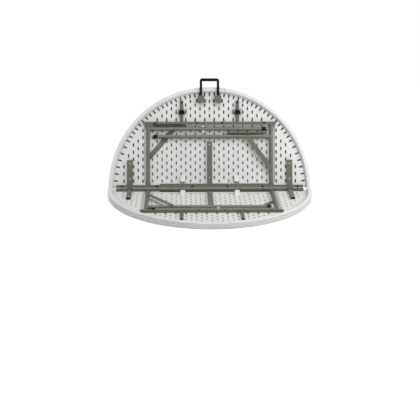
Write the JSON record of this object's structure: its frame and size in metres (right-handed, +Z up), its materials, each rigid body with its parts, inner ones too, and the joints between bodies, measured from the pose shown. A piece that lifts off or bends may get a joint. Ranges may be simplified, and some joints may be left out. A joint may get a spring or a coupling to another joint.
{
  "type": "folding_table",
  "caption": "Round plastic folding table that folds in half, standing half open on one half, with tube legs stowed under it and a pull-out carrying handle",
  "frame": {"origin": "middle of the fold, on the face that the lying half rests on (the upper face of its tabletop)", "axes": "+X along the fold to the right, +Y away from the lying half towards the leaning half, +Z up"},
  "size_m": [1.2192, 0.8511, 0.6614],
  "materials": {
    "white_plastic": "fine texture",
    "black_plastic": "smooth",
    "cream_plastic": "smooth",
    "grey_paint": "powder coat",
    "wire": "plain",
    "black_steel": "black oxide",
    "zinc": "plated"
  },
  "bodies": {
    "front_half": {"front_centre_brace": "grey_paint", "front_cross_rail": "grey_paint", "front_hinge_rail": "grey_paint", "front_latch_bar_left": "grey_paint", "front_latch_bar_right": "grey_paint", "front_leg_clip": "cream_plastic", "front_rail_liner": "grey_paint", "front_rivets": "zinc", "front_screws": "black_steel", "front_stay_brackets": "grey_paint", "front_strap_left": "grey_paint", "front_strap_right": "grey_paint", "front_tabletop": "white_plastic"},
    "back_half": {"back_centre_brace": "grey_paint", "back_cross_rail": "grey_paint", "back_handle_guide_left": "grey_paint", "back_handle_guide_right": "grey_paint", "back_hinge_pins": "zinc", "back_hinge_rail": "grey_paint", "back_latch_bar_left": "grey_paint", "back_latch_bar_right": "grey_paint", "back_leg_clip": "cream_plastic", "back_rail_liner": "grey_paint", "back_rivets": "zinc", "back_screws": "black_steel", "back_stay_brackets": "grey_paint", "back_strap_left": "grey_paint", "back_strap_right": "grey_paint", "back_tabletop": "white_plastic"},
    "front_outer_leg": {"front_outer_leg": "grey_paint", "front_outer_pivot": "grey_paint", "front_outer_brace": "grey_paint", "front_outer_foot": "black_plastic"},
    "front_outer_stay_upper": {"front_outer_stay_leg_link": "grey_paint"},
    "front_outer_stay_lower": {"front_outer_stay_deck_link": "grey_paint"},
    "front_inner_leg": {"front_inner_leg": "grey_paint", "front_inner_pivot": "grey_paint", "front_inner_brace": "grey_paint", "front_inner_foot": "black_plastic"},
    "front_inner_stay_upper": {"front_inner_stay_leg_link": "grey_paint"},
    "front_inner_stay_lower": {"front_inner_stay_deck_link": "grey_paint"},
    "back_outer_leg": {"back_outer_leg": "grey_paint", "back_outer_pivot": "grey_paint", "back_outer_brace": "grey_paint", "back_outer_foot": "black_plastic"},
    "back_outer_stay_upper": {"back_outer_stay_leg_link": "grey_paint"},
    "back_outer_stay_lower": {"back_outer_stay_deck_link": "grey_paint"},
    "back_inner_leg": {"back_inner_leg": "grey_paint", "back_inner_pivot": "grey_paint", "back_inner_brace": "grey_paint", "back_inner_foot": "black_plastic"},
    "back_inner_stay_upper": {"back_inner_stay_leg_link": "grey_paint"},
    "back_inner_stay_lower": {"back_inner_stay_deck_link": "grey_paint"},
    "latch_lever_left": {"back_latch_left": "black_plastic"},
    "latch_wire_left": {"back_latch_bail_left": "wire"},
    "latch_lever_right": {"back_latch_right": "black_plastic"},
    "latch_wire_right": {"back_latch_bail_right": "wire"},
    "handle": {"back_handle": "black_plastic"}
  },
  "joints": [
    {"name": "tabletop_fold", "type": "hinge", "parent": "front_half", "child": "back_half", "pos_m": [0, 0, 0.038], "axis": [-1, 0, 0], "range_deg": [-110, 70]},
    {"name": "front_outer_leg_fold", "type": "hinge", "parent": "front_half", "child": "front_outer_leg", "pos_m": [0.372, -0.2, 0.0235], "axis": [0, 1, 0], "range_deg": [0, 90]},
    {"name": "front_outer_stay_upper_pivot", "type": "hinge", "parent": "front_outer_leg", "child": "front_outer_stay_upper", "pos_m": [0.157, -0.371, 0.0235], "axis": [0, 1, 0], "range_deg": [0, 45]},
    {"name": "front_outer_stay_lower_pivot", "type": "hinge", "parent": "front_half", "child": "front_outer_stay_lower", "pos_m": [0.157, -0.378, 0.0235], "axis": [0, -1, 0], "range_deg": [0, 45]},
    {"name": "front_inner_leg_fold", "type": "hinge", "parent": "front_half", "child": "front_inner_leg", "pos_m": [-0.372, -0.2, 0.0238], "axis": [0, -1, 0], "range_deg": [0, 90]},
    {"name": "front_inner_stay_upper_pivot", "type": "hinge", "parent": "front_inner_leg", "child": "front_inner_stay_upper", "pos_m": [-0.116, -0.324, 0.0238], "axis": [0, -1, 0], "range_deg": [0, 45]},
    {"name": "front_inner_stay_lower_pivot", "type": "hinge", "parent": "front_half", "child": "front_inner_stay_lower", "pos_m": [-0.116, -0.331, 0.0238], "axis": [0, 1, 0], "range_deg": [0, 45]},
    {"name": "back_outer_leg_fold", "type": "hinge", "parent": "back_half", "child": "back_outer_leg", "pos_m": [-0.372, 0.08203, 0.22098], "axis": [0, -0.342, -0.9397], "range_deg": [0, 90]},
    {"name": "back_outer_stay_upper_pivot", "type": "hinge", "parent": "back_outer_leg", "child": "back_outer_stay_upper", "pos_m": [-0.157, 0.14052, 0.38167], "axis": [0, -0.342, -0.9397], "range_deg": [0, 45]},
    {"name": "back_outer_stay_lower_pivot", "type": "hinge", "parent": "back_half", "child": "back_outer_stay_lower", "pos_m": [-0.157, 0.14291, 0.38825], "axis": [0, 0.342, 0.9397], "range_deg": [0, 45]},
    {"name": "back_inner_leg_fold", "type": "hinge", "parent": "back_half", "child": "back_inner_leg", "pos_m": [0.372, 0.08175, 0.22108], "axis": [0, 0.342, 0.9397], "range_deg": [0, 90]},
    {"name": "back_inner_stay_upper_pivot", "type": "hinge", "parent": "back_inner_leg", "child": "back_inner_stay_upper", "pos_m": [0.116, 0.12416, 0.3376], "axis": [0, 0.342, 0.9397], "range_deg": [0, 45]},
    {"name": "back_inner_stay_lower_pivot", "type": "hinge", "parent": "back_half", "child": "back_inner_stay_lower", "pos_m": [0.116, 0.12655, 0.34418], "axis": [0, -0.342, -0.9397], "range_deg": [0, 45]},
    {"name": "latch_left_turn", "type": "hinge", "parent": "back_half", "child": "latch_lever_left", "pos_m": [-0.1688, 0.15764, 0.45737], "axis": [1, 0, 0], "range_deg": [0, 110]},
    {"name": "latch_wire_left_turn", "type": "hinge", "parent": "latch_lever_left", "child": "latch_wire_left", "pos_m": [-0.1688, 0.15969, 0.46301], "axis": [1, 0, 0], "range_deg": [0, 90]},
    {"name": "latch_right_turn", "type": "hinge", "parent": "back_half", "child": "latch_lever_right", "pos_m": [0.1688, 0.15764, 0.45737], "axis": [1, 0, 0], "range_deg": [0, 110]},
    {"name": "latch_wire_right_turn", "type": "hinge", "parent": "latch_lever_right", "child": "latch_wire_right", "pos_m": [0.1688, 0.15969, 0.46301], "axis": [1, 0, 0], "range_deg": [0, 90]},
    {"name": "handle_slide", "type": "slide", "parent": "back_half", "child": "handle", "axis": [0, 0.342, 0.9397], "range_m": [-0.0514, 0]}
  ],
  "couplings": [
    {"joint": "front_outer_stay_upper_pivot", "follows": "front_outer_leg_fold", "ratio": 0.5},
    {"joint": "front_outer_stay_lower_pivot", "follows": "front_outer_leg_fold", "ratio": 0.5},
    {"joint": "front_inner_leg_fold", "follows": "front_outer_leg_fold", "ratio": 1},
    {"joint": "front_inner_stay_upper_pivot", "follows": "front_outer_leg_fold", "ratio": 0.5},
    {"joint": "front_inner_stay_lower_pivot", "follows": "front_outer_leg_fold", "ratio": 0.5},
    {"joint": "back_outer_stay_upper_pivot", "follows": "back_outer_leg_fold", "ratio": 0.5},
    {"joint": "back_outer_stay_lower_pivot", "follows": "back_outer_leg_fold", "ratio": 0.5},
    {"joint": "back_inner_leg_fold", "follows": "back_outer_leg_fold", "ratio": 1},
    {"joint": "back_inner_stay_upper_pivot", "follows": "back_outer_leg_fold", "ratio": 0.5},
    {"joint": "back_inner_stay_lower_pivot", "follows": "back_outer_leg_fold", "ratio": 0.5}
  ]
}
